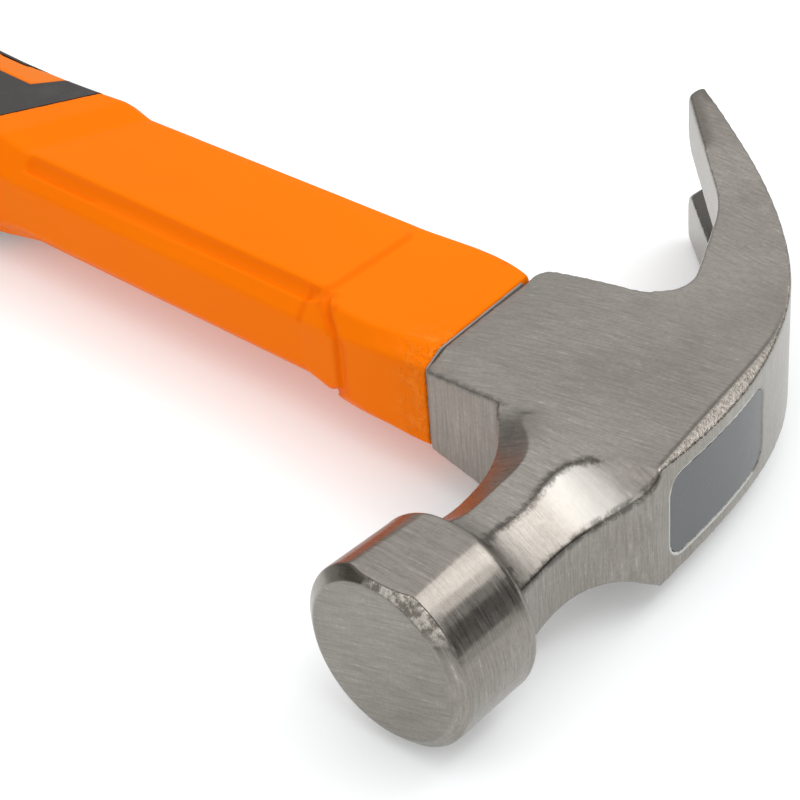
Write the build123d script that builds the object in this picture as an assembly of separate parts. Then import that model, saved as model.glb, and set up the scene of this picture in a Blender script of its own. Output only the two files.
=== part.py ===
"""Claw hammer with a forged steel head and a two-colour moulded handle on a glass-fibre core.

Working frame: the head axis runs along X, striking face at -X and claw at +X, and the handle runs
along +Y from the head to the butt.  Z is the thickness, with Z = 0 in the hammer's mid-plane, so the
hammer lies on its side.  All pieces are moved at the end to put the origin at the bottom centre.
Lengths are in millimetres.
"""
from build123d import *
import os
from math import cos, pi, radians, sin, tan

# ---- glass-fibre core and the eye round it -----------------------------------------------------
CORE = (19.0, 9.0)        # rod section, along and across the head
CORE_TOP_GAP = 5.0        # crown to the rod's upper end
CORE_END_GAP = 26.0       # rod's lower end to the butt
EYE_X = 0.7               # the eye sits this far behind the handle axis
RESIN_GAP = (1.4, 1.2)    # resin on each side of the rod at the waist of the eye
TOP_FLARE = (1.9, 0.8)    # the eye opens by this on each side towards the crown
BOTTOM_FLARE = (0.4, 0.5) # and by this towards the joint
EYE_WAIST_Y = 8.0
EYE_CORNER_R = 2.6
RESIN_RECESS = 0.15       # resin surface below the crown
BOND_LINE = 0.3           # resin between head and jacket
BOND_INSET = 0.15         # how far the resin stays inside the joint's outline
EYE_WAIST = (CORE[0] + 2 * RESIN_GAP[0], CORE[1] + 2 * RESIN_GAP[1])
EYE_TOP = (EYE_WAIST[0] + 2 * TOP_FLARE[0], EYE_WAIST[1] + 2 * TOP_FLARE[1])
EYE_BOTTOM = (EYE_WAIST[0] + 2 * BOTTOM_FLARE[0], EYE_WAIST[1] + 2 * BOTTOM_FLARE[1])

# ---- eye block and skirt -----------------------------------------------------------------------
CHEEK_WALL = 3.47         # steel beside the eye at the crown
FRONT_WALL = 2.4          # steel in front of the eye at the crown
SKIRT_WALLS = (2.45, 3.4)  # steel in front of and behind the eye at the joint
CROWN_Y = -12.0           # top of the eye block at its front corner
CROWN_RISE = 2.2          # how much lower the crown is above the rear of the eye
SKIRT_TOP_Y = 15.3        # where the skirt's front wall leaves the neck
SKIRT_DRAFT_Y = 8.0       # the cheeks start to draw in here towards the handle
SKIRT_DRAFT_R = 140.0     # radius of that draft
SKIRT_CORNER_R = (0.8, 2.2)
SKIRT_FACET = (5.0, 1.4)  # width and depth, at the joint, of the facets beside the skirt's front wall
SKIRT_FACET_Y = 8.0       # those facets run out here
JOINT_Y = 31.1            # joint between head and handle, on the handle axis
JOINT_SLANT = 4.1         # degrees, lower at the rear
CHEEK_Z = EYE_TOP[1] / 2 + CHEEK_WALL
BLOCK_FRONT_X = EYE_X - EYE_TOP[0] / 2 - FRONT_WALL
SKIRT_FRONT_X = EYE_X - EYE_BOTTOM[0] / 2 - SKIRT_WALLS[0]
SKIRT_REAR_X = EYE_X + EYE_BOTTOM[0] / 2 + SKIRT_WALLS[1]

# ---- neck and poll -----------------------------------------------------------------------------
FACE_R = 13.5             # poll radius
FACE_BEVEL = 1.9          # radial width of the bevel round the face
FACE_BEVEL_LENGTH = 1.5   # length of that bevel along the head
POLL_LENGTH = 14.9        # face to the rear rim of the poll
POLL_GROUND = 1.0         # depth of the two flats ground on the poll
RIM_ROUND = 1.5           # rounding of the rear rim
NECK_LENGTH = 26.5        # rear rim of the poll to the eye block
NECK_WAIST_Z = 8.4        # half thickness of the neck at its waist
FACE_X = BLOCK_FRONT_X - NECK_LENGTH - POLL_LENGTH

# ---- claw --------------------------------------------------------------------------------------
CLAW_REACH = 49.5         # skirt to the tips, along the head
CLAW_TIP_Y = 39.8
CLAW_TIP_THICK = 3.3      # thickness of the chisel end
CLAW_TIP_R = 1.1          # rounding of that end
PRONG_R = (2.8, 2.0)      # rounding of each prong's end beside the slot and beside the cheek
CLAW_SPREAD = 4.33        # each prong's tip stands this far outside the cheek
CLAW_FLARE = 4.6          # the claw starts to widen this far behind the skirt
CLAW_END_SLOPE = 46.0     # degrees, inner face near the tip
CLAW_ROOT_SLOPE = 25.0    # degrees, inner face next to the throat
CLAW_BEND_R = 24.0        # between those two
THROAT_SET = 2.5          # corner between skirt and claw, before rounding
THROAT_Y = 8.2
THROAT_R = 6.0
SLOT_TIP_Z = 4.4          # half width of the nail slot at the tips
SLOT_ROOT_R = 0.9
SLOT_LENGTH = 32.2
BAND_DEPTH = 2.3          # widest part of the rolled edge between crown and cheek
BAND_HEIGHT = 1.3
BAND_BULGE = 0.25         # how far the rolled edge stands proud of a flat bevel
BAND_SHARE = 0.42         # part of the crown's length that the rolled edge takes
CLAW_TIP_X = SKIRT_REAR_X + CLAW_REACH
CLAW_FLARE_X = SKIRT_REAR_X + CLAW_FLARE
CLAW_TIP_Z = CHEEK_Z + CLAW_SPREAD
THROAT_X = SKIRT_REAR_X + THROAT_SET
SLOT_ROOT_X = CLAW_TIP_X - SLOT_LENGTH

# ---- handle ------------------------------------------------------------------------------------
BUTT_Y = 318.0
JACKET_WALL = (2.3, 4.1)  # jacket on each side of the core between head and grip
FRONT_CUT = (3.4, 4.3)    # width and height of the bevel on its front edges
BACK_CUT = (0.7, 0.9)     # the same on its back edges
EDGE_R = 0.6              # rounding of the handle's long edges
SWELL = (1.2, 2.2)        # the handle is this much deeper near the head, at front and back
SHOULDER_Y = 117.0        # foot of the shoulder in front of the grip
SHOULDER_SLANT = 24.0     # degrees, the shoulder reaches further forward at the back
SHOULDER_LENGTH = 6.0
SHOULDER_RISE = 1.25
PANEL_Y = 53.0            # start of the raised panel on both cheeks of the handle
PANEL_MARGINS = (3.5, 1.4)  # handle's front and back to the panel
PANEL_CORNER_R = 1.6
PANEL_RISE = 0.2
PANEL_END_GAP = 1.5       # panel to the foot of the shoulder
GROOVE_WIDTH = 1.7
GROOVE_DEPTH = 0.6
GROOVE_TURN_Y = 46.5      # the groove crosses the front of the handle here
HANDLE_SIDE_X = CORE[0] / 2 + JACKET_WALL[0]
HANDLE_Z = CORE[1] / 2 + JACKET_WALL[1]
PANEL_X = (PANEL_MARGINS[0] - HANDLE_SIDE_X, HANDLE_SIDE_X - PANEL_MARGINS[1])

# ---- grip --------------------------------------------------------------------------------------
GRIP_Y = 129.8            # front edge of the rubber grip on the handle axis
GRIP_SLANT = 29.0         # degrees, that edge reaches further forward at the back
GRIP_X = 16.0             # half width of the grip at the palm
GRIP_Z = 13.0             # half thickness of the grip at the palm
BUTT_X = 18.0             # half width of the flared butt
BUTT_Z = 14.3
GRIP_R = 5.5              # rounding of the grip's long edges
GRIP_WALL = 1.8
GRIP_END_WALL = 3.0
RAIL_X = (5.9, 9.9)       # inner and outer edge of the orange rail in the grip
RAIL_Y = 135.8
RAIL_END_GAP = 32.0       # rail's end to the butt
RAIL_HOOK = 6.0           # length of the rail's front end, which hooks round the back
RAIL_SLANT = 42.0         # degrees, slant of that end

FAR = 60.0                # half size of cutting blocks, larger than the hammer is thick


# ---- helpers -----------------------------------------------------------------------------------
def prism(points, low=-FAR, high=FAR):
    """Closed polygon in the XY plane, extruded from one height to another."""
    return Pos(0, 0, low) * extrude(make_face(Polyline(*points, close=True)), high - low)


def mirrored(solid):
    """The solid together with its mirror image in the mid-plane."""
    return [solid, mirror(solid, Plane.XY)]


def joint_y(x, offset=0.0):
    """Height of the slanted joint line between skirt and handle."""
    return JOINT_Y + offset + x * tan(radians(JOINT_SLANT))


def shoulder_y(x, centre_y):
    """Line across the handle, parallel to the shoulder."""
    return centre_y - x * tan(radians(SHOULDER_SLANT))


def grip_edge_y(x, centre_y):
    """Line across the handle, parallel to the grip's front edge."""
    return centre_y - x * tan(radians(GRIP_SLANT))


def beyond(line, centre_y):
    """Everything on the butt side of a line across the handle."""
    left, right = line(-FAR, centre_y), line(FAR, centre_y)
    return prism([(-FAR, left), (FAR, right), (FAR, 2 * BUTT_Y), (-FAR, 2 * BUTT_Y)])


# ---- head outline ------------------------------------------------------------------------------
def crown_curve():
    """Top outline of the head, from the front corner of the eye block over the claw to its tip."""
    drop = CLAW_TIP_Y - CROWN_Y
    return Spline(
        (BLOCK_FRONT_X, CROWN_Y),
        (SKIRT_REAR_X - 7.0, CROWN_Y + CROWN_RISE),
        (SKIRT_REAR_X + 0.305 * CLAW_REACH, CROWN_Y + 0.210 * drop),
        (SKIRT_REAR_X + 0.622 * CLAW_REACH, CROWN_Y + 0.4845 * drop),
        (CLAW_TIP_X, CLAW_TIP_Y),
        tangents=[(1.0, 0.03), (cos(radians(57)), sin(radians(57)))],
    )


def claw_bend():
    """Corner between the two straight runs of the claw's inner face."""
    root, end = tan(radians(CLAW_ROOT_SLOPE)), tan(radians(CLAW_END_SLOPE))
    tip = claw_inner_tip()
    x = (tip[1] - THROAT_Y - end * tip[0] + root * THROAT_X) / (root - end)
    return x, THROAT_Y + root * (x - THROAT_X)


def bend_radius():
    """Radius of that corner, smaller where the run from the throat leaves no room for it."""
    run = (claw_bend()[0] - THROAT_X) / cos(radians(CLAW_ROOT_SLOPE))
    room = run - 1.5 * THROAT_R
    return min(CLAW_BEND_R, room / tan(radians(CLAW_END_SLOPE - CLAW_ROOT_SLOPE) / 2))


def claw_inner_tip():
    return CLAW_TIP_X - CLAW_TIP_THICK, CLAW_TIP_Y + 0.3


def head_face():
    """Side view of eye block, skirt and claw."""
    crown = crown_curve()
    lower = FilletPolyline(
        (BLOCK_FRONT_X, SKIRT_TOP_Y),
        (SKIRT_FRONT_X, joint_y(SKIRT_FRONT_X)),
        (SKIRT_REAR_X, joint_y(SKIRT_REAR_X)),
        (THROAT_X, THROAT_Y),
        claw_bend(),
        claw_inner_tip(),
        radius=[*SKIRT_CORNER_R, THROAT_R, bend_radius()],
    )
    front = Line(lower @ 0, crown @ 0)
    end = Line(crown @ 1, lower @ 1)
    outline = make_face([crown, end, lower, front])
    tip_corners = outline.vertices().sort_by(Axis.Y)[-2:]
    return fillet(tip_corners, CLAW_TIP_R)


def claw_half_width(x):
    """Half width across the claw: an arc that leaves the cheeks tangentially."""
    length, rise = CLAW_TIP_X - CLAW_FLARE_X, CLAW_TIP_Z - CHEEK_Z
    radius = (length ** 2 + rise ** 2) / (2 * rise)
    return CHEEK_Z + radius - (radius ** 2 - max(0.0, x - CLAW_FLARE_X) ** 2) ** 0.5


def thickness_body():
    """View from the crown: parallel cheeks, then the widening claw, extruded through the head."""
    middle_x = (CLAW_FLARE_X + CLAW_TIP_X) / 2
    far_x = CLAW_TIP_X + 2
    edges = []
    for side in (1, -1):
        start = (BLOCK_FRONT_X, side * CHEEK_Z)
        flare = (CLAW_FLARE_X, side * CHEEK_Z)
        end = (far_x, side * claw_half_width(far_x))
        edges.append(Line(start, flare))
        edges.append(ThreePointArc(flare, (middle_x, side * claw_half_width(middle_x)), end))
    edges.append(Line((BLOCK_FRONT_X, CHEEK_Z), (BLOCK_FRONT_X, -CHEEK_Z)))
    edges.append(Line(edges[1] @ 1, edges[3] @ 1))
    plan = make_face(edges)                       # drawn in XY, turned so that its Y becomes Z
    return extrude(Plane.XZ * plan, FAR, both=True)


def skirt_draft():
    """Material outside the skirt's cheeks, which draw in towards the handle along an arc."""
    length = joint_y(SKIRT_REAR_X) + 3 - SKIRT_DRAFT_Y
    drop = SKIRT_DRAFT_R - (SKIRT_DRAFT_R ** 2 - length ** 2) ** 0.5
    half = SKIRT_DRAFT_R - (SKIRT_DRAFT_R ** 2 - (length / 2) ** 2) ** 0.5
    start = (SKIRT_DRAFT_Y, CHEEK_Z)
    end = (SKIRT_DRAFT_Y + length, CHEEK_Z - drop)
    arc = ThreePointArc(start, (SKIRT_DRAFT_Y + length / 2, CHEEK_Z - half), end)
    outer = Polyline(end, (end[0], FAR), (start[0], FAR), start)
    face = Plane.YZ * make_face([arc, outer])
    width = THROAT_X - BLOCK_FRONT_X + 1
    return Pos(BLOCK_FRONT_X - 1, 0, 0) * extrude(face, width)


def skirt_facet():
    """Wedge outside a flat facet that thins the skirt's front edge towards the joint."""
    def cheek_z(y):
        return CHEEK_Z - SKIRT_DRAFT_R + (SKIRT_DRAFT_R ** 2 - (y - SKIRT_DRAFT_Y) ** 2) ** 0.5
    width, depth = SKIRT_FACET
    y = joint_y(SKIRT_FRONT_X)
    corner = Vector(SKIRT_FRONT_X, y, cheek_z(y) - depth)
    inner = Vector(SKIRT_FRONT_X + width, y, cheek_z(y))
    start = Vector(BLOCK_FRONT_X, SKIRT_FACET_Y, CHEEK_Z)
    outward = (start - corner).cross(inner - corner)
    half_space = extrude(Plane(origin=corner, z_dir=outward) * Rectangle(2 * FAR, 2 * FAR), FAR)
    front = Pos(BLOCK_FRONT_X + FAR, 0, FAR) * Box(2 * FAR, 4 * FAR, 2 * FAR)
    return half_space & front


def rolled_edge():
    """Sliver that the rolled edge takes off between crown and cheek, widest at the eye."""
    crown = crown_curve()
    sections = []
    steps = 6
    for step in range(steps + 1):
        along = BAND_SHARE * step / steps
        share = sin(pi * (step + 1) / (steps + 1))
        forward = crown % along
        origin = (crown @ along) + Vector(0, 0, CHEEK_Z)
        plane = Plane(origin, x_dir=Vector(-forward.Y, forward.X), z_dir=forward)
        on_cheek = Vector(BAND_DEPTH * (share + 1), BAND_HEIGHT)
        on_crown = Vector(-BAND_DEPTH, -BAND_HEIGHT * (share + 1))
        middle = (on_cheek + on_crown) / 2 + Vector(-BAND_HEIGHT, BAND_DEPTH).normalized() * BAND_BULGE
        corner = Vector(-2 * BAND_DEPTH, 3 * BAND_HEIGHT)
        outline = [
            ThreePointArc(on_crown, middle, on_cheek),
            Line(on_cheek, corner),
            Line(corner, on_crown),
        ]
        sections.append(plane * make_face(outline))
    return loft(sections)


def nail_slot():
    """V-shaped slot between the prongs, with a round root."""
    end_x = CLAW_TIP_X + 4
    slope = (SLOT_TIP_Z - SLOT_ROOT_R) / (CLAW_TIP_X - SLOT_ROOT_X)
    end_z = SLOT_TIP_Z + slope * (end_x - CLAW_TIP_X)
    wedge = make_face(Polyline(
        (SLOT_ROOT_X, SLOT_ROOT_R), (end_x, end_z), (end_x, -end_z), (SLOT_ROOT_X, -SLOT_ROOT_R), close=True,
    ))
    root = Pos(SLOT_ROOT_X, 0) * Circle(SLOT_ROOT_R)
    return extrude(Plane.XZ * (wedge + root), FAR, both=True)


def prong_corners():
    """Material outside the rounded corners of the upper prong's end."""
    inner_r, outer_r = PRONG_R
    outer_tip = crown_curve() @ 1
    across = Vector(*claw_inner_tip()) - Vector(outer_tip.X, outer_tip.Y)
    plane = Plane(outer_tip, x_dir=Vector(across.Y, -across.X), z_dir=-across)
    narrowing = (SLOT_TIP_Z - SLOT_ROOT_R) / SLOT_LENGTH * (CLAW_TIP_THICK + inner_r)
    cheek = claw_half_width(CLAW_TIP_X - outer_r * plane.x_dir.X)
    share = 1 - 0.5 ** 0.5
    wall, end = (-inner_r, SLOT_TIP_Z - narrowing), (0, SLOT_TIP_Z + inner_r)
    slot_side = [
        ThreePointArc(wall, (-share * inner_r, SLOT_TIP_Z + share * inner_r), end),
        Polyline(end, (FAR, end[1]), (FAR, 0), (wall[0], 0), wall),
    ]
    wall, end = (-outer_r, cheek), (0, CLAW_TIP_Z - outer_r)
    cheek_side = [
        ThreePointArc(wall, (-share * outer_r, CLAW_TIP_Z - share * outer_r), end),
        Polyline(end, (FAR, end[1]), (FAR, FAR), (wall[0], FAR), wall),
    ]
    return [extrude(plane * make_face(outline), 2 * CLAW_TIP_THICK, both=True) for outline in (slot_side, cheek_side)]


def neck_section(x, top_z, top, side_z, sides):
    """Octagon across the neck: top and bottom flats at +-top_z, side flats between.

    top, side_z and sides hold the value towards the crown and the value towards the handle.
    """
    crown_z, foot_z = side_z
    corners = [(top[1], top_z), (sides[1], foot_z), (sides[1], -foot_z), (top[1], -top_z)]
    corners += [(top[0], -top_z), (sides[0], -crown_z), (sides[0], crown_z), (top[0], top_z)]
    return Plane.YZ.offset(x) * make_face(Polyline(*corners, close=True))


def neck():
    """Octagonal neck that flares from the poll into the eye block."""
    waist_z = NECK_WAIST_Z

    def station(share):
        return BLOCK_FRONT_X - share * NECK_LENGTH

    sections = [
        neck_section(station(1) - 1, waist_z + 2.4, (-3.2, 4.8), (6.2, 6.2), (-11.0, 11.2)),
        neck_section(station(0.89), waist_z + 0.7, (-2.2, 3.9), (5.0, 5.0), (-9.1, 9.5)),
        neck_section(station(0.736), waist_z, (-1.8, 3.5), (4.6, 4.6), (-8.3, 8.7)),
        neck_section(station(0.472), waist_z + 0.3, (-1.5, 3.8), (4.7, 4.7), (-8.0, 9.1)),
        neck_section(station(0.264), waist_z + 1.0, (-1.0, 4.4), (5.6, 5.6), (-9.4, 10.4)),
        neck_section(station(0.113), CHEEK_Z - 0.1, (-4.2, 8.0), (7.3, 7.2), (-11.4, 13.0)),
        neck_section(BLOCK_FRONT_X, CHEEK_Z, (CROWN_Y + 1, SKIRT_FACET_Y), (9.3, 8.8), (CROWN_Y, SKIRT_TOP_Y)),
    ]
    return loft(sections)


def poll():
    """Round poll: bevelled face, ground flats and a hollowed run into the neck."""
    rim_x = FACE_X + POLL_LENGTH
    rim_r = FACE_R - 0.3
    waist = (rim_x + 7.0, NECK_WAIST_Z - 0.6)
    bevel_end = (FACE_X + FACE_BEVEL_LENGTH, FACE_R)
    rim_start, rim_end = (rim_x - RIM_ROUND, rim_r), (rim_x + 0.4, rim_r - RIM_ROUND)
    profile = [
        Polyline((FACE_X, 0), (FACE_X, FACE_R - FACE_BEVEL), bevel_end, rim_start),
        ThreePointArc(rim_start, (rim_x, rim_r - 0.27 * RIM_ROUND), rim_end),
        ThreePointArc(rim_end, (rim_x + 2.4, NECK_WAIST_Z + 1.1), waist),
        Polyline(waist, (waist[0], 0), (FACE_X, 0)),
    ]
    turned = revolve(make_face(profile), Axis.X)
    return turned & Box(4 * FAR, 4 * FAR, 2 * (FACE_R - POLL_GROUND))


def eye():
    """Hourglass hole for the core, wide at the crown and at the joint."""
    def mouth(y, size, grow=0.0):
        outline = RectangleRounded(size[0] + grow, size[1] + grow, EYE_CORNER_R + grow / 2)
        return Plane.XZ.offset(-y) * Pos(EYE_X, 0) * outline
    top_y = CROWN_Y - 3
    slope = (EYE_TOP[0] - EYE_WAIST[0]) / (EYE_WAIST_Y - CROWN_Y)
    upper = loft([mouth(top_y, EYE_TOP, slope * 3), mouth(EYE_WAIST_Y, EYE_WAIST)], ruled=True)
    lower = loft([mouth(EYE_WAIST_Y, EYE_WAIST), mouth(joint_y(SKIRT_REAR_X) + 1, EYE_BOTTOM)], ruled=True)
    return upper + lower


def make_head():
    block = extrude(head_face(), FAR, both=True) & thickness_body()
    cutters = [skirt_draft(), skirt_facet(), rolled_edge(), *prong_corners()]
    for cutter in cutters:
        for side in mirrored(cutter):
            block -= side
    block -= nail_slot()
    return (block + neck() + poll()) - eye()


# ---- handle ------------------------------------------------------------------------------------
def handle_section(y, slant, front, back, half_z, front_cut, back_cut, round_r):
    """Eight-sided section across the handle with rounded corners.

    front and back are the half widths towards face and claw; each cut is the width and height that
    the edge there loses.  A slanted section reaches further forward at the back.
    """
    stretch = 1 / cos(radians(slant))
    x_front, x_back = -front * stretch, back * stretch
    cut_front, cut_back = front_cut[0] * stretch, back_cut[0] * stretch
    side_front, side_back = half_z - front_cut[1], half_z - back_cut[1]
    corners = [
        (x_back - cut_back, half_z), (x_back, side_back), (x_back, -side_back),
        (x_back - cut_back, -half_z), (x_front + cut_front, -half_z), (x_front, -side_front),
        (x_front, side_front), (x_front + cut_front, half_z),
    ]
    outline = make_face(Polyline(*corners, close=True))
    outline = fillet(outline.vertices(), round_r)
    across = Vector(cos(radians(slant)), -sin(radians(slant)))
    plane = Plane((0, y, 0), x_dir=across, z_dir=Vector(across.Y, -across.X))
    return plane * outline


def slim_form(inset=0.0):
    """Outer form from the joint to the shoulder, moved inwards by inset."""
    x, z = HANDLE_SIDE_X - inset, HANDLE_Z - inset
    root = handle_section(JOINT_Y - 3, 0, x + 0.8, x - 0.6, z - 0.3, (3.4, 1.5), (0.9, 1.2), EDGE_R)
    lip = handle_section(JOINT_Y + 3.5, 0, x + 1.1, x + 0.7 * SWELL[1], z, (2.9, 2.1), BACK_CUT, EDGE_R)
    swell = handle_section(JOINT_Y + 10, 0, x + SWELL[0], x + SWELL[1], z, (2.3, 2.7), BACK_CUT, EDGE_R)
    turn = handle_section(PANEL_Y + 3, 0, x + 0.3, x + 0.6 * SWELL[1], z, FRONT_CUT, BACK_CUT, EDGE_R)
    foot = handle_section(SHOULDER_Y, SHOULDER_SLANT, x, x - 0.1, z, FRONT_CUT, BACK_CUT, EDGE_R)
    return loft([root, lip, swell, turn]) + loft([turn, foot], ruled=True)


def grip_form(inset=0.0):
    """Outer form of the handle from the shoulder's foot to the butt, moved inwards by inset."""
    top_y = SHOULDER_Y + SHOULDER_LENGTH
    thin_x, thin_z = HANDLE_SIDE_X + SHOULDER_RISE, HANDLE_Z + SHOULDER_RISE
    end_y = BUTT_Y - (GRIP_END_WALL if inset else 0)

    def at(share, x, z, cut):
        y = top_y + share * (end_y - top_y)
        return handle_section(y, 0, x - inset, x - inset, z - inset, (cut, cut + 0.6), (cut, cut + 0.6), cut / 2)

    x, z = thin_x - inset, thin_z - inset
    front = HANDLE_SIDE_X - inset
    step = handle_section(top_y, SHOULDER_SLANT, front, x, z, FRONT_CUT, (1.8, 2.0), EDGE_R)
    palm = [
        at(0.09, thin_x - 0.2, thin_z, 2.4),
        at(0.2, thin_x + 1.0, thin_z + 1.1, 3.2),
        at(0.5, GRIP_X, GRIP_Z, GRIP_R),
        at(0.75, GRIP_X - 0.8, GRIP_Z - 0.6, GRIP_R),
        at(0.93, BUTT_X, BUTT_Z, GRIP_R),
        at(1.0, BUTT_X - 1.5, BUTT_Z - 1.4, GRIP_R),
    ]
    form = loft([step] + palm)
    if inset:
        return form
    x = HANDLE_SIDE_X
    foot = handle_section(SHOULDER_Y, SHOULDER_SLANT, x, x - 0.1, HANDLE_Z, FRONT_CUT, BACK_CUT, EDGE_R)
    return loft([foot, step], ruled=True) + form


def grooves():
    """Shallow groove along the front edge of each side panel that turns down over the handle's front."""
    near = PANEL_X[0] - 0.1
    far = near - GROOVE_WIDTH
    turn_z = HANDLE_Z - FRONT_CUT[1]
    strip = [
        (near, PANEL_Y), (far, PANEL_Y),
        (far, shoulder_y(far, SHOULDER_Y - PANEL_END_GAP)), (near, shoulder_y(near, SHOULDER_Y - PANEL_END_GAP)),
    ]
    path = [
        (PANEL_Y, HANDLE_Z + 1), (GROOVE_TURN_Y, turn_z),
        (GROOVE_TURN_Y, -turn_z), (PANEL_Y, -HANDLE_Z - 1),
    ]
    back = [(y + GROOVE_WIDTH, z) for y, z in reversed(path)]
    band = extrude(Plane.YZ * make_face(Polyline(*path, *back, close=True)), FAR)
    cutters = mirrored(prism(strip, low=turn_z)) + [Pos(near - FAR, 0, 0) * band]
    return Part() + cutters - slim_form(GROOVE_DEPTH)


def panels():
    """Slightly raised flat on each cheek of the handle."""
    front, back = PANEL_X
    end = [(x, shoulder_y(x, SHOULDER_Y - PANEL_END_GAP)) for x in (back, front)]
    outline = make_face(Polyline((front, PANEL_Y), (back, PANEL_Y), *end, close=True))
    outline = fillet(outline.vertices().sort_by(Axis.Y)[:2], PANEL_CORNER_R)
    return mirrored(Pos(0, 0, HANDLE_Z - 1) * extrude(outline, 1 + PANEL_RISE))


def rail():
    """Orange rail along the back of the grip on both cheeks; its front end hooks round the back."""
    inner, outer = RAIL_X
    out_x = 2 * GRIP_X
    slope = tan(radians(RAIL_SLANT))
    end = BUTT_Y - RAIL_END_GAP
    hook_y = RAIL_Y - slope * (out_x - inner)
    outline = [
        (inner, RAIL_Y), (inner, end), (outer, end - 4), (outer, RAIL_Y + RAIL_HOOK),
        (outer + 1, RAIL_Y + 0.8), (out_x, hook_y + RAIL_HOOK), (out_x, hook_y),
    ]
    return prism(outline)


# ---- pieces ------------------------------------------------------------------------------------
def make_core():
    """Straight glass-fibre rod from the eye to near the butt."""
    section = RectangleRounded(CORE[0], CORE[1], CORE[1] / 2 - 0.2)
    top_y, end_y = CROWN_Y + CORE_TOP_GAP, BUTT_Y - CORE_END_GAP
    return extrude(Plane.XZ.offset(-top_y) * section, top_y - end_y)


def make_resin(core):
    """Poured resin: fills the eye round the core, stands below the crown and bonds the joint."""
    crown = Pos(0, RESIN_RECESS, 0) * crown_curve()
    below = Polyline(crown @ 1, (CLAW_TIP_X, BUTT_Y), (BLOCK_FRONT_X, BUTT_Y), crown @ 0)
    fill = (eye() & extrude(make_face([crown, below]), FAR, both=True)) - beyond(joint_y, 0)
    x, z = HANDLE_SIDE_X - BOND_INSET, HANDLE_Z - 0.3 - BOND_INSET
    bead = handle_section(JOINT_Y - 3, 0, x + 0.8, x - 0.2, z, (3.4, 1.5), (0.9, 1.2), EDGE_R)
    bead = extrude(bead, 3 * SHOULDER_LENGTH, both=True)
    film = beyond(joint_y, 0) - beyond(joint_y, BOND_LINE)
    return (fill + (bead & film)) - core


def make_jacket(core):
    """Hard orange moulding: bare between head and grip, thinner inside the grip."""
    behind = beyond(grip_edge_y, GRIP_Y)
    bare = slim_form() + (grip_form() - behind)
    inside = (grip_form(GRIP_WALL) + (grip_form() & rail())) & behind
    jacket = (bare + inside + panels()) & beyond(joint_y, BOND_LINE)
    return jacket - grooves() - core


def make_grip():
    """Soft black overmould with windows for the rail."""
    return (grip_form() & beyond(grip_edge_y, GRIP_Y)) - grip_form(GRIP_WALL) - rail()


def main():
    core = make_core()
    pieces = {
        "head": make_head(),
        "fibreglass_core": core,
        "epoxy_fill": make_resin(core),
        "handle_jacket": make_jacket(core),
        "grip": make_grip(),
    }
    box = Compound([solid for piece in pieces.values() for solid in piece.solids()]).bounding_box()
    to_rest = Pos(-box.center().X, -box.center().Y, -box.min.Z)
    print("origin moved by", to_rest.position)
    os.makedirs("parts", exist_ok=True)
    for name, piece in pieces.items():
        placed = to_rest * piece
        export_step(placed, f"parts/{name}.step")
        print(name, len(placed.solids()), round(placed.volume), placed.bounding_box())


main()
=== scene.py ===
"""Claw hammer lying on its side on a white table, lit by soft studio lamps.

The CAD nodes set every shape. Head and jacket are shown by finer copies of their nodes with eased
edges, the other three nodes as they are. Lengths are in metres, with MM for millimetres. The axes
are those of the shared frame: x from the face to the claw, y from the crown to the butt, z up.
"""
from types import SimpleNamespace

import bpy
from mathutils import Matrix, Vector
from mathutils.kdtree import KDTree


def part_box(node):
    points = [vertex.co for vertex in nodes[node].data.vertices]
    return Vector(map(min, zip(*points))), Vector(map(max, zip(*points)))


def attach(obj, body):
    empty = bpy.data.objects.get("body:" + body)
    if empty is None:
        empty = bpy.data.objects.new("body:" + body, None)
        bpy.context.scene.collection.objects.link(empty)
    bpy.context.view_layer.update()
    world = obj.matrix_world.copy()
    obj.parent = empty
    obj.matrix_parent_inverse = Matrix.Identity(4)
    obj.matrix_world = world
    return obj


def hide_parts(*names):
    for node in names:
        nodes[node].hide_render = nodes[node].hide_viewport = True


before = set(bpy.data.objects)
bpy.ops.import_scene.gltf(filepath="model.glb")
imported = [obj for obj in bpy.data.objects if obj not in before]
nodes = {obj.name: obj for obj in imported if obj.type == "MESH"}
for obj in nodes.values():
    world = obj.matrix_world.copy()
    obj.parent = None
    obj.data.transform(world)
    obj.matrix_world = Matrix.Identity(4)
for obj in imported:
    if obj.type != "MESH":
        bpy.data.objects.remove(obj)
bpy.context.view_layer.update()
MM = 0.001
head_low, head_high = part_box("head")

# ---- places --------------------------------------------------------------------------------------
MID_Z = (head_low[2] + head_high[2]) / 2            # the hammer's mid-plane
POLL_Y = head_low[1] + 13.5 * MM                    # axis of the round poll
FILLET = (-0.0221, -0.1433, MID_Z + 8.5 * MM)       # where the neck runs into the skirt

# Where edges are worn, marked or left alone.
WORN_PRONG_X = 0.034                                # from here to the tips
WORN_CLAW_X = 0.016                                 # from here to the tips
CREASED_NECK_X = (-0.0435, -0.0186)
CREASELESS_FLARE_X = -0.0230                        # from here to the eye block, near the cheek
SKIRT_FRONT_X = (-0.0205, -0.0140)
EYE_MOUTH_X = (-0.0178, 0.0100)
COLLAR_Y = (-0.116, -0.080)

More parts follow.
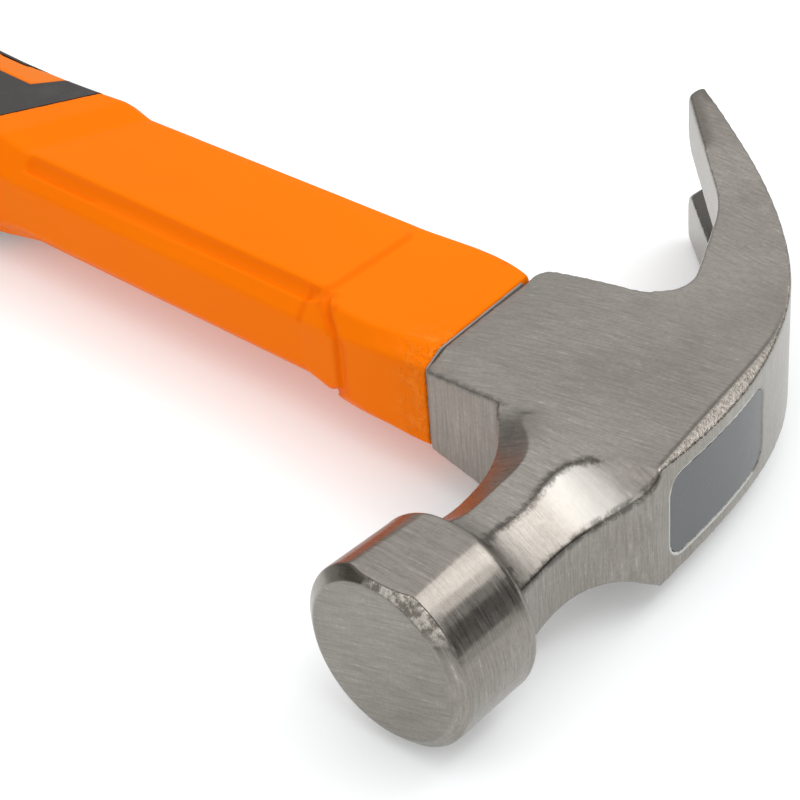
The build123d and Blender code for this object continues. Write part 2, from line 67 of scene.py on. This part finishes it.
# Limits of regions: 0 at the first value and 1 at the second, or 0, 1, 1 and 0 at four values.
FACE_X = (-0.0565, -0.0580)                         # from the poll to its bevel and face
BLOCK_X = (-0.0205, -0.0180)                        # from the neck to the eye block
CLAW_X = (0.004, 0.030)                             # from the eye block to the claw
ROLLED_X = (-0.0185, -0.0175, 0.035, 0.050)         # the rolled edge beside the crown
DARK_LINE_X = (-0.0190, -0.0170, 0.012, 0.025)      # the painted shade line on its cheek side
FLARE_X = (-0.0325, -0.0265, -0.0235, -0.0195)      # the neck's flare, where a highlight is painted
FLARE_HEIGHT = (0.004, 0.006)                       # above the mid-plane
BEVEL_HEIGHT = (0.0075, 0.0095)                     # the top of the bevel, above the mid-plane
CHIPPED_Y = (-0.1498, -0.1512)                      # from the darker top of the bevel to its chipped part
FILLET_REACH = (0.0065, 0.0015)                     # painted shade, by distance from the fillet
WIPED_Y = (-0.130, -0.125)                          # resin, from the eye to the joint
GLUED_Y, GLUED_X = (-0.1145, -0.1190), (-0.006, -0.013)   # jacket, towards the joint's front corner
RAIL_Y, RAIL_X = (-0.026, -0.022), (0.0, 0.004)     # jacket, from the shoulder to the rail

# The same for how squarely a surface faces a direction, where 1 is straight at it and 0 across.
FLAT = (0.90, 0.97)
TILTED = (0.25, 0.40)
WALL = (0.7, 0.9)
BEVELLED = (0.20, 0.40, 0.85, 0.95)
FLARED = (0.22, 0.36, 0.82, 0.90)
EASED_TO_CROWN, EASED_UP = (0.03, 0.08, 0.24, 0.60), (0.74, 0.90)
INTO_SLOT = (-0.0006, -0.0020)                      # height times the normal's z

# ---- colours -------------------------------------------------------------------------------------
STEEL_DARK, STEEL_LIGHT = (0.262, 0.240, 0.214, 1), (0.326, 0.302, 0.272, 1)
LINE_DARK, LINE_BRIGHT = (0.110, 0.100, 0.088, 1), (0.52, 0.495, 0.46, 1)
GRIT_DARK, GRIT_LIGHT = (0.235, 0.208, 0.182, 1), (0.45, 0.415, 0.372, 1)
CHIP_DARK, CHIP_LIGHT = (0.150, 0.130, 0.108, 1), (0.56, 0.52, 0.46, 1)
STAIN = (0.15, 0.138, 0.125, 1)
BEVEL_TOP_DARK = (0.070, 0.060, 0.046, 1)
TIP_PAINTED_SHADE = (0.120, 0.104, 0.092, 1)
SLOT_PAINTED_SHADE = (0.070, 0.064, 0.056, 1)
SOOT_AND_PAINTED_SHADE = (0.034, 0.029, 0.024, 1)
FLARE_PAINTED_HIGHLIGHT = (0.68, 0.66, 0.62, 1)
RIM_PAINTED_HIGHLIGHT = (0.62, 0.61, 0.59, 1)
RESIN_DARK, RESIN_LIGHT = (0.058, 0.061, 0.064, 1), (0.080, 0.084, 0.087, 1)
RESIN_WIPED = (0.23, 0.215, 0.20, 1)
ROD_DARK, ROD_LIGHT = (0.62, 0.55, 0.32, 1), (0.80, 0.76, 0.58, 1)
ORANGE_DEEP, ORANGE_LIGHT = (0.86, 0.150, 0.0, 1), (0.90, 0.195, 0.0, 1)
ORANGE_RAIL = (0.76, 0.190, 0.025, 1)
ORANGE_GLUED = (0.95, 0.25, 0.02, 1)
ORANGE_STEP_SHADE = (0.72, 0.085, 0.0, 1)
RUBBER_BLACK, RUBBER_DUSTY = (0.021, 0.019, 0.018, 1), (0.038, 0.034, 0.032, 1)
TABLE_WHITE = (0.80, 0.825, 0.83, 1)
WHITE = (1, 1, 1, 1)


# ---- node helpers --------------------------------------------------------------------------------
class Tree:
    """Short calls for building one material's nodes."""

    def __init__(self, name):
        self.material = bpy.data.materials.new(name)
        self.material.use_nodes = True
        self.nodes = self.material.node_tree.nodes
        self.links = self.material.node_tree.links
        self.shader = self.nodes["Principled BSDF"]

    def put(self, kind, inputs=None, **settings):
        node = self.nodes.new(kind)
        for key, value in settings.items():
            setattr(node, key, value)
        for key, value in (inputs or {}).items():
            self.feed(node.inputs[key], value)
        return node

    def feed(self, socket, value):
        if isinstance(value, bpy.types.NodeSocket):
            self.links.new(value, socket)
        else:
            socket.default_value = value

    def math(self, operation, a, b=0.0):
        return self.put("ShaderNodeMath", {0: a, 1: b}, operation=operation).outputs[0]

    def times(self, first, *others):
        for other in others:
            first = self.math("MULTIPLY", first, other)
        return first

    def plus(self, a, b):
        return self.math("ADD", a, b)

    def minus(self, a, b):
        return self.math("SUBTRACT", a, b)

    def larger(self, a, b):
        return self.math("MAXIMUM", a, b)

    def ramp(self, value, low, high):
        """0 at low, 1 at high, smooth between and level beyond."""
        inputs = {"Value": value, "From Min": low, "From Max": high}
        return self.put("ShaderNodeMapRange", inputs, interpolation_type="SMOOTHSTEP").outputs[0]

    def window(self, value, start, full, until, end):
        """1 between full and until, falling to 0 at start and end."""
        return self.times(self.ramp(value, start, full), self.ramp(value, end, until))

    def mix(self, factor, a, b):
        """Number a where the factor is 0, b where it is 1."""
        return self.put("ShaderNodeMix", {0: factor, 2: a, 3: b}, data_type="FLOAT").outputs[0]

    def tint(self, factor, a, b):
        """Colour a where the factor is 0, b where it is 1."""
        return self.put("ShaderNodeMix", {0: factor, 6: a, 7: b}, data_type="RGBA").outputs[2]

    def coords(self, kind):
        return self.put("ShaderNodeTexCoord").outputs[kind]

    def split(self, vector):
        return self.put("ShaderNodeSeparateXYZ", {0: vector}).outputs

    def place(self, stretch=(1, 1, 1), turn=(0, 0, 0)):
        """Object coordinates, turned and then stretched."""
        turned = {"Vector": self.coords("Object"), "Rotation": turn}
        turned = self.put("ShaderNodeMapping", turned).outputs[0]
        return self.put("ShaderNodeMapping", {"Vector": turned, "Scale": stretch}).outputs[0]

    def noise(self, vector, scale, detail=3.0, rough=0.55):
        inputs = {"Vector": vector, "Scale": scale, "Detail": detail, "Roughness": rough}
        return self.put("ShaderNodeTexNoise", inputs).outputs["Fac"]

    def brushed(self, stretch, turn=(0, 0, 0), rough=0.75):
        """Brush lines: noise that is fine across the lines and drawn out along them."""
        return self.noise(self.place(stretch, turn), scale=1, detail=4, rough=rough)

    def bump(self, height, distance, strength, under=None):
        inputs = {"Height": height, "Distance": distance, "Strength": strength}
        if under is not None:
            inputs["Normal"] = under
        return self.put("ShaderNodeBump", inputs).outputs[0]

    def mark(self, name):
        """What marked() stored on the mesh under this name."""
        return self.put("ShaderNodeAttribute", attribute_name=name).outputs["Fac"]

    def base(self, **values):
        for key, value in values.items():
            self.feed(self.shader.inputs[key.replace("_", " ")], value)


# ---- materials -----------------------------------------------------------------------------------
def head_regions(t):
    """Masks for the regions of the head, from where a point lies and which way it faces."""
    facing = t.split(t.coords("Normal"))
    eased = t.split(t.put("ShaderNodeBevel", {"Radius": 0.9 * MM}, samples=6).outputs[0])
    x, y, z = t.split(t.coords("Object"))
    height = t.minus(z, MID_Z)
    up = t.math("ABSOLUTE", facing[2])
    to_crown = t.times(facing[1], -1.0)
    to_face = t.times(facing[0], -1.0)
    soft_up = t.math("ABSOLUTE", eased[2])
    soft_crown = t.times(eased[1], -1.0)

    at = SimpleNamespace()
    block = t.ramp(x, *BLOCK_X)
    at.claw = t.ramp(x, *CLAW_X)
    at.cheek = t.times(t.ramp(up, *FLAT), block)
    at.wall = t.times(t.ramp(to_face, *WALL), block)
    at.rolled = t.times(t.ramp(to_crown, *TILTED), t.ramp(up, *TILTED), t.window(x, *ROLLED_X))
    end = t.ramp(x, *FACE_X)
    at.striking = t.times(t.ramp(to_face, *FLAT), end)
    at.bevel = t.times(t.window(to_face, *BEVELLED), end)
    upper = t.times(at.bevel, t.ramp(height, *BEVEL_HEIGHT))
    at.chipped = t.times(upper, t.ramp(y, *CHIPPED_Y))
    # Darker on the upper bevel, except where it is chipped.
    at.bruised = t.minus(upper, at.chipped)
    # The slot's side walls are the ones that face the mid-plane.
    at.slot_side = t.times(t.ramp(t.times(facing[2], height), *INTO_SLOT), at.claw)
    # Painted highlight: the neck's flare is lightened, above the mid-plane and facing the crown.
    at.flare = t.times(t.window(x, *FLARE_X), t.ramp(height, *FLARE_HEIGHT))
    at.flare = t.times(at.flare, t.window(to_crown, *FLARED))
    # Painted shade: a dark line along the rolled edge's cheek side, found from eased normals.
    at.dark_line = t.times(t.window(soft_crown, *EASED_TO_CROWN), t.ramp(soft_up, *EASED_UP))
    at.dark_line = t.times(at.dark_line, t.window(x, *DARK_LINE_X))
    # Painted shade along the bevelled inner edges of the prongs, on the sides facing up or down.
    at.tips = t.times(t.ramp(t.mark("tips"), 0.0, 0.7), t.ramp(up, 0.6, 0.8))
    # Painted highlight along the steel's edge round the resin at the crown.
    at.rim = t.ramp(t.mark("rim"), 0.1, 0.6)
    return at


def brush_lines(t, at, grains, chips):
    """Brush lines that follow each surface, giving way to grains and chips where it is rough."""
    on_cheek = t.brushed((2600, 190, 1), turn=(0, 0, -0.15))
    on_claw = t.brushed((2600, 260, 1), turn=(0, 0, 0.08))
    lines = t.mix(at.cheek, t.brushed((2800, 200, 200)), t.mix(at.claw, on_cheek, on_claw))
    lines = t.mix(at.wall, lines, t.brushed((300, 2400, 120), rough=0.7))
    lines = t.mix(at.striking, lines, t.brushed((1, 150, 2500), turn=(0.32, 0, 0)))
    lines = t.mix(t.larger(at.rolled, at.slot_side), lines, grains)
    return t.mix(at.chipped, lines, chips)


def soot_and_painted_shade(t, at, grains):
    """Soot in the neck's creases, painted shade at the skirt's facets, rolled edge and fillet."""
    speckle = t.ramp(t.noise(t.place(), 700, detail=4, rough=0.8), 0.34, 0.60)
    speckled_breakup = t.times(t.minus(t.plus(speckle, grains), 1.2), 0.45)
    # Soot along the neck's creases; painted shade beside the skirt's facets.
    crease, seam_shade = t.mark("crease"), t.mark("seam_shade")
    crease = t.times(t.ramp(t.plus(crease, speckled_breakup), 0.20, 0.95), t.ramp(crease, 0.0, 0.4))
    seam_shade = t.times(t.ramp(t.plus(seam_shade, speckled_breakup), 0.20, 1.10), t.ramp(seam_shade, 0.0, 0.4))
    # Painted shade in the concave fillet where the neck runs into the skirt.
    fillet = t.put("ShaderNodeVectorMath", {0: t.place(), 1: FILLET}, operation="DISTANCE")
    fillet = t.ramp(fillet.outputs["Value"], *FILLET_REACH)
    soot_and_shade = t.larger(crease, t.times(seam_shade, 0.75))
    soot_and_shade = t.larger(soot_and_shade, t.times(at.dark_line, 0.75))
    return t.larger(soot_and_shade, t.times(fillet, 0.42))


def steel():
    """Ground steel: brush lines, sooty creases, painted shade and highlights; the face's bevel
    chipped, darker on top.
    """
    t = Tree("brushed_forged_steel")
    at = head_regions(t)
    grains = t.noise(t.place(), 1700, detail=3, rough=0.8)
    chips = t.noise(t.place(), 750, detail=4, rough=0.7)
    lines = brush_lines(t, at, grains, chips)

    blotch = t.noise(t.place(), 28, detail=4, rough=0.6)
    stain = t.noise(t.place(), 170, detail=6, rough=0.7)
    marks = t.mix(0.3, lines, grains)
    colour = t.tint(t.ramp(blotch, 0.35, 0.65), STEEL_DARK, STEEL_LIGHT)
    colour = t.tint(t.ramp(marks, 0.36, 0.60), t.tint(0.6, LINE_DARK, colour), colour)
    colour = t.tint(t.ramp(marks, 0.56, 0.76), colour, LINE_BRIGHT)
    colour = t.tint(t.ramp(stain, 0.70, 0.80), colour, STAIN)
    layers = (
        (at.rolled, 0.8, t.tint(t.ramp(grains, 0.34, 0.66), GRIT_DARK, GRIT_LIGHT)),
        (at.chipped, 0.7, t.tint(t.ramp(chips, 0.40, 0.60), CHIP_DARK, CHIP_LIGHT)),
        (at.bruised, 0.85, BEVEL_TOP_DARK),
        # Painted shade on the prongs' bevelled inner edges.
        (at.tips, 0.6, TIP_PAINTED_SHADE),
        # Painted highlight on the neck's flare.
        (at.flare, 0.5, FLARE_PAINTED_HIGHLIGHT),
        # Painted highlight round the resin.
        (at.rim, 0.8, RIM_PAINTED_HIGHLIGHT),
        # Painted shade on the slot's side walls, which face each other across the slot.
        (at.slot_side, 0.85, SLOT_PAINTED_SHADE),
        # Soot in the neck's creases; painted shade beside the skirt's facets, on the rolled edge
        # and in the fillet.
        (soot_and_painted_shade(t, at, grains), 0.75, SOOT_AND_PAINTED_SHADE),
    )
    for region, cover, paint in layers:
        colour = t.tint(t.times(region, cover), colour, paint)

    rough = 0.29
    finishes = (
        (at.cheek, 0.36), (at.wall, 0.42), (at.striking, 0.38),
        (at.rolled, 0.30), (at.flare, 0.42), (at.bevel, 0.26),
    )
    for region, finish in finishes:
        rough = t.mix(region, rough, finish)
    rough = t.plus(rough, t.times(t.minus(lines, 0.5), 0.25))

    relief = t.bump(lines, distance=0.05 * MM, strength=0.5)
    grit = t.times(t.minus(grains, 0.5), at.rolled)
    relief = t.bump(grit, distance=0.14 * MM, strength=0.5, under=relief)
    relief = t.bump(t.times(chips, at.chipped), distance=0.8 * MM, strength=0.7, under=relief)
    t.base(Base_Color=colour, Metallic=1.0, Roughness=rough, Normal=relief)
    return t.material


def epoxy():
    """Cast resin: smooth and a little cloudy in the eye, pale where it was wiped at the joint."""
    t = Tree("cast_grey_epoxy")
    cloud = t.noise(t.place(), 90)
    wiped = t.ramp(t.split(t.coords("Object"))[1], *WIPED_Y)
    colour = t.tint(wiped, t.tint(cloud, RESIN_DARK, RESIN_LIGHT), RESIN_WIPED)
    relief = t.bump(t.noise(t.place(), 160, detail=2), distance=0.1 * MM, strength=0.4)
    t.base(Base_Color=colour, Roughness=t.mix(cloud, 0.22, 0.34), Normal=relief)
    t.base(Specular_IOR_Level=0.5)
    return t.material


def glass_fibre():
    """Pultruded rod: straw-coloured resin with fibres along its length."""
    t = Tree("glass_fibre_rod")
    fibres = t.noise(t.place(stretch=(60, 1, 60)), 30)
    relief = t.bump(fibres, distance=0.05 * MM, strength=0.5)
    t.base(Base_Color=t.tint(fibres, ROD_DARK, ROD_LIGHT), Roughness=0.5, Normal=relief)
    return t.material


def orange_plastic():
    """Moulded polypropylene: satin skin, shallow ripples from cooling, rough glue at the joint."""
    t = Tree("moulded_orange_plastic")
    drift = t.noise(t.place(stretch=(1, 0.4, 1)), 30)
    grain = t.noise(t.place(), 900)
    ripple = t.noise(t.place(stretch=(1, 0.35, 1)), 80)
    smear = t.noise(t.place(), 420, detail=4, rough=0.7)
    x, y, _ = t.split(t.coords("Object"))
    glued = t.times(t.ramp(y, *GLUED_Y), t.ramp(x, *GLUED_X), t.ramp(smear, 0.42, 0.60))
    rail = t.times(t.ramp(y, *RAIL_Y), t.ramp(x, *RAIL_X))
    colour = t.tint(drift, ORANGE_DEEP, ORANGE_LIGHT)
    colour = t.tint(rail, colour, ORANGE_RAIL)
    colour = t.tint(t.times(glued, 0.4), colour, ORANGE_GLUED)
    # Painted shade in the concave step of the jacket's collar.
    colour = t.tint(t.times(t.mark("step"), 0.45), colour, ORANGE_STEP_SHADE)
    relief = t.bump(ripple, distance=0.5 * MM, strength=0.35)
    relief = t.bump(t.times(smear, glued), distance=0.8 * MM, strength=0.5, under=relief)
    relief = t.bump(grain, distance=0.03 * MM, strength=0.4, under=relief)
    t.base(Base_Color=colour, Roughness=t.mix(grain, 0.34, 0.46), Normal=relief)
    t.base(Specular_IOR_Level=0.025)
    return t.material


def rubber():
    """Soft black elastomer with a fine matt grain."""
    t = Tree("black_elastomer")
    grain = t.noise(t.place(), 1400, detail=2)
    dust = t.noise(t.place(), 120, detail=5, rough=0.7)
    colour = t.tint(t.ramp(dust, 0.45, 0.75), RUBBER_BLACK, RUBBER_DUSTY)
    relief = t.bump(grain, distance=0.06 * MM, strength=0.6)
    t.base(Base_Color=colour, Roughness=t.mix(grain, 0.5, 0.62), Normal=relief)
    t.base(Specular_IOR_Level=0.5)
    return t.material


def dress(node, material):
    """Gives a CAD node, shown as it is, its material."""
    mesh = nodes[node].data
    mesh.materials.clear()
    mesh.materials.append(material)


# ---- edges of the CAD nodes ----------------------------------------------------------------------
def within(value, span):
    return span[0] < value < span[1]


def prong_inner_edge(point, run):
    """Edges between the claw's cheeks and its inner face, from the tips inwards."""
    outside = abs(point.z - MID_Z) > 9.4 * MM
    inner_y = head_high[1] - 3 * MM - 0.55 * (head_high[0] - point.x)   # the inner face slopes so
    return outside and point.x > WORN_PRONG_X and point.y > inner_y


def claw_edge(point, run):
    """All edges of the claw behind the eye."""
    return point.x > WORN_CLAW_X


def neck_crease(point, run):
    """The two creases on the crown side of the neck, along the head. They fade out on the flare."""
    above = point.z > MID_Z + 2 * MM and point.y < POLL_Y + 1.5 * MM
    flare = point.x > CREASELESS_FLARE_X and point.z > MID_Z + 10.6 * MM
    return above and not flare and within(point.x, CREASED_NECK_X) and abs(run.x) > 0.5


def skirt_corner(point, run):
    """The front corners of the skirt, beside its facets."""
    return within(point.x, SKIRT_FRONT_X) and point.y > POLL_Y + 14 * MM and point.z > MID_Z


def eye_mouth(point, run):
    """The steel's edge round the resin at the crown."""
    inside = abs(point.z - MID_Z) < 8.7 * MM and within(point.x, EYE_MOUTH_X)
    return inside and point.y < head_low[1] + 4 * MM


def collar_step(point, run):
    """The step of the jacket's collar, across the handle."""
    return within(point.y, COLLAR_Y) and abs(run.y) < 0.75


def sharp_points(node, keep, fold, spacing=0.3 * MM, digits=2):
    """Points along the CAD edges of the node that fold by more than `fold` radians and that keep()
    picks. Corners count as one when they agree to so many digits of a millimetre."""
    mesh = nodes[node].data
    normals_at = {}
    for polygon in mesh.polygons:
        corners = [mesh.vertices[index].co for index in polygon.vertices]
        corners = [tuple(round(value / MM, digits) for value in corner) for corner in corners]
        for start, end in zip(corners, corners[1:] + corners[:1]):
            normals_at.setdefault(frozenset((start, end)), []).append(polygon.normal)
    points = []
    for ends, normals in normals_at.items():
        if len(ends) < 2 or len(normals) != 2 or normals[0].angle(normals[1], 0.0) < fold:
            continue
        start, end = (Vector(corner) * MM for corner in ends)
        steps = 1 + int((end - start).length / spacing)
        run = (end - start).normalized()
        places = [start.lerp(end, step / steps) for step in range(steps + 1)]
        points += [place for place in places if keep(place, run)]
    return points


# ---- surfaces of head and jacket -----------------------------------------------------------------
def closeness(piece, points, reach):
    """For each vertex of the piece, 1 on the points, falling to 0 at `reach` from them."""
    tree = KDTree(len(points))
    for index, point in enumerate(points):
        tree.insert(point, index)
    tree.balance()
    return [max(0.0, 1 - tree.find(vertex.co)[2] / reach) for vertex in piece.data.vertices]


def worn_edges(piece, name, points, reach, passes):
    """Rounds the piece more along the given edges."""
    group = piece.vertex_groups.new(name=name)
    for index, weight in enumerate(closeness(piece, points, reach)):
        if weight > 0:
            group.add([index], weight, "REPLACE")
    smooth(piece, name, passes).vertex_group = name


def marked(piece, name, points, reach):
    """Stores the closeness to the given edges for the materials to use."""
    layer = piece.data.attributes.new(name, "FLOAT", "POINT")
    layer.data.foreach_set("value", closeness(piece, points, reach))


def smooth(piece, name, passes):
    modifier = piece.modifiers.new(name, "SMOOTH")
    modifier.factor = 0.5
    modifier.iterations = passes
    return modifier


def softened(node, material, voxel, passes):
    """A finer copy of a CAD node with its edges eased, as grinding or moulding leaves them."""
    copy = nodes[node].copy()
    copy.data = nodes[node].data.copy()
    copy.parent = None
    for tag in list(copy.keys()):
        del copy[tag]
    bpy.context.scene.collection.objects.link(copy)
    weld = copy.modifiers.new("weld", "WELD")
    weld.merge_threshold = 0.001 * MM
    remesh = copy.modifiers.new("remesh", "REMESH")
    remesh.mode = "VOXEL"
    remesh.voxel_size = voxel
    smooth(copy, "ease", passes)
    piece = baked(copy, node + "_surface")
    piece.data.materials.clear()
    piece.data.materials.append(material)
    for polygon in piece.data.polygons:
        polygon.use_smooth = True
        polygon.material_index = 0
    return piece


def baked(source, name):
    """A new object with the source's modifiers applied; the source is removed."""
    bpy.context.view_layer.update()
    depsgraph = bpy.context.evaluated_depsgraph_get()
    mesh = bpy.data.meshes.new_from_object(source.evaluated_get(depsgraph))
    bpy.data.objects.remove(source)
    piece = bpy.data.objects.new(name, mesh)
    bpy.context.scene.collection.objects.link(piece)
    return piece


def replace(node, piece):
    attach(piece, "root")
    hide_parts(node)


neck_creases = sharp_points("head", neck_crease, fold=0.15)
skirt_corners = sharp_points("head", skirt_corner, fold=0.3)
mouth_edges = sharp_points("head", eye_mouth, fold=0.6)
prong_edges = sharp_points("head", prong_inner_edge, fold=0.6)
claw_edges = sharp_points("head", claw_edge, fold=0.6)
collar_steps = sharp_points("handle_jacket", collar_step, fold=0.15)

head = softened("head", steel(), voxel=0.24 * MM, passes=8)
marked(head, "crease", neck_creases, reach=1.5 * MM)
# Closeness to the skirt's front corners, for the painted shade beside its facets.
marked(head, "seam_shade", skirt_corners, reach=1.2 * MM)
# Closeness to the eye's mouth, for the painted highlight round the resin.
marked(head, "rim", mouth_edges, reach=0.7 * MM)
# Closeness to the prongs' inner edges, for their painted shade.
marked(head, "tips", prong_edges, reach=2.6 * MM)
worn_edges(head, "claw_wear", claw_edges, reach=1.0 * MM, passes=24)
worn_edges(head, "prong_wear", prong_edges, reach=2.2 * MM, passes=60)
replace("head", baked(head, "head_skin"))

jacket = softened("handle_jacket", orange_plastic(), voxel=0.40 * MM, passes=5)
# Closeness to the collar's step, for its painted shade.
marked(jacket, "step", collar_steps, reach=1.0 * MM)
replace("handle_jacket", jacket)

dress("epoxy_fill", epoxy())
dress("fibreglass_core", glass_fibre())
dress("grip", rubber())


# ---- stage ---------------------------------------------------------------------------------------
def aim(thing, place, target):
    """Puts the thing at the place, with its -Z towards the target."""
    thing.location = place
    thing.rotation_euler = (target - place).to_track_quat("-Z", "Y").to_euler()


def table():
    """A white table that glows faintly, a hair below the hammer so that no faces coincide."""
    t = Tree("white_table")
    t.base(Base_Color=TABLE_WHITE, Roughness=0.6, Specular_IOR_Level=0.2)
    t.base(Emission_Color=WHITE, Emission_Strength=0.20)
    bpy.ops.mesh.primitive_plane_add(size=8, location=(0, 0, -0.1 * MM))
    floor = bpy.context.object
    floor.name = "table"
    floor.data.materials.append(t.material)


def lamp(name, place, target, size, power):
    light = bpy.data.lights.new(name, "AREA")
    light.shape = "RECTANGLE"
    light.size, light.size_y = size
    light.energy = power
    obj = bpy.data.objects.new(name, light)
    bpy.context.scene.collection.objects.link(obj)
    aim(obj, place, target)


def card(name, place, target, size, shade):
    """A plain upright card that darkens what the steel mirrors from that side."""
    t = Tree(name)
    t.base(Base_Color=(shade, shade, shade, 1), Roughness=1.0, Specular_IOR_Level=0.0)
    bpy.ops.mesh.primitive_plane_add(size=1)
    obj = bpy.context.object
    obj.name = name
    obj.scale = (*size, 1)
    aim(obj, place, target)
    obj.data.materials.append(t.material)
    obj.visible_camera = False
    obj.visible_diffuse = False
    obj.visible_shadow = False


def sky():
    """White surroundings: strength 0.3 at the horizon, rising smoothly to 1.15 at 37 degrees up."""
    world = bpy.data.worlds.new("studio")
    world.use_nodes = True
    tree = world.node_tree
    split = tree.nodes.new("ShaderNodeSeparateXYZ")
    rise = tree.nodes.new("ShaderNodeMapRange")
    rise.interpolation_type = "SMOOTHSTEP"
    for key, value in (("From Min", 0.0), ("From Max", 0.6), ("To Min", 0.3), ("To Max", 1.15)):
        rise.inputs[key].default_value = value
    tree.links.new(tree.nodes.new("ShaderNodeTexCoord").outputs["Generated"], split.inputs[0])
    tree.links.new(split.outputs["Z"], rise.inputs["Value"])
    tree.links.new(rise.outputs[0], tree.nodes["Background"].inputs["Strength"])
    tree.nodes["Background"].inputs["Color"].default_value = WHITE
    bpy.context.scene.world = world


def studio():
    sky()
    bpy.context.scene.view_settings.view_transform = "Standard"
    target = Vector((-0.02, -0.15, 0.015))
    softbox = target + 1.0 * Vector((0.55, -0.25, 0.80))
    stripbox = target + 0.9 * Vector((0.02, -0.42, 0.88))
    dark_card = target + 0.45 * Vector((0.60, -0.72, 0.36))
    lamp("softbox", softbox, target, size=(0.5, 0.5), power=1.6)
    lamp("stripbox", stripbox, target, size=(0.75, 0.16), power=1.1)
    card("dark_card", dark_card, target, size=(0.6, 0.24), shade=0.12)


def camera():
    """The photograph's viewpoint: 36 degrees down, square between face and crown."""
    data = bpy.data.cameras.new("camera")
    data.sensor_width = 36
    data.lens = 107.95
    data.clip_start = 0.01
    obj = bpy.data.objects.new("camera", data)
    bpy.context.scene.collection.objects.link(obj)
    heading = Matrix.Rotation(-0.78610, 4, "Z")
    pitch = Matrix.Rotation(0.93794, 4, "X")
    roll = Matrix.Rotation(-0.08412, 4, "Z")
    place = Matrix.Translation((-0.21243, -0.31181, 0.21610))
    obj.matrix_world = place @ heading @ pitch @ roll
    bpy.context.scene.camera = obj


table()
studio()
camera()
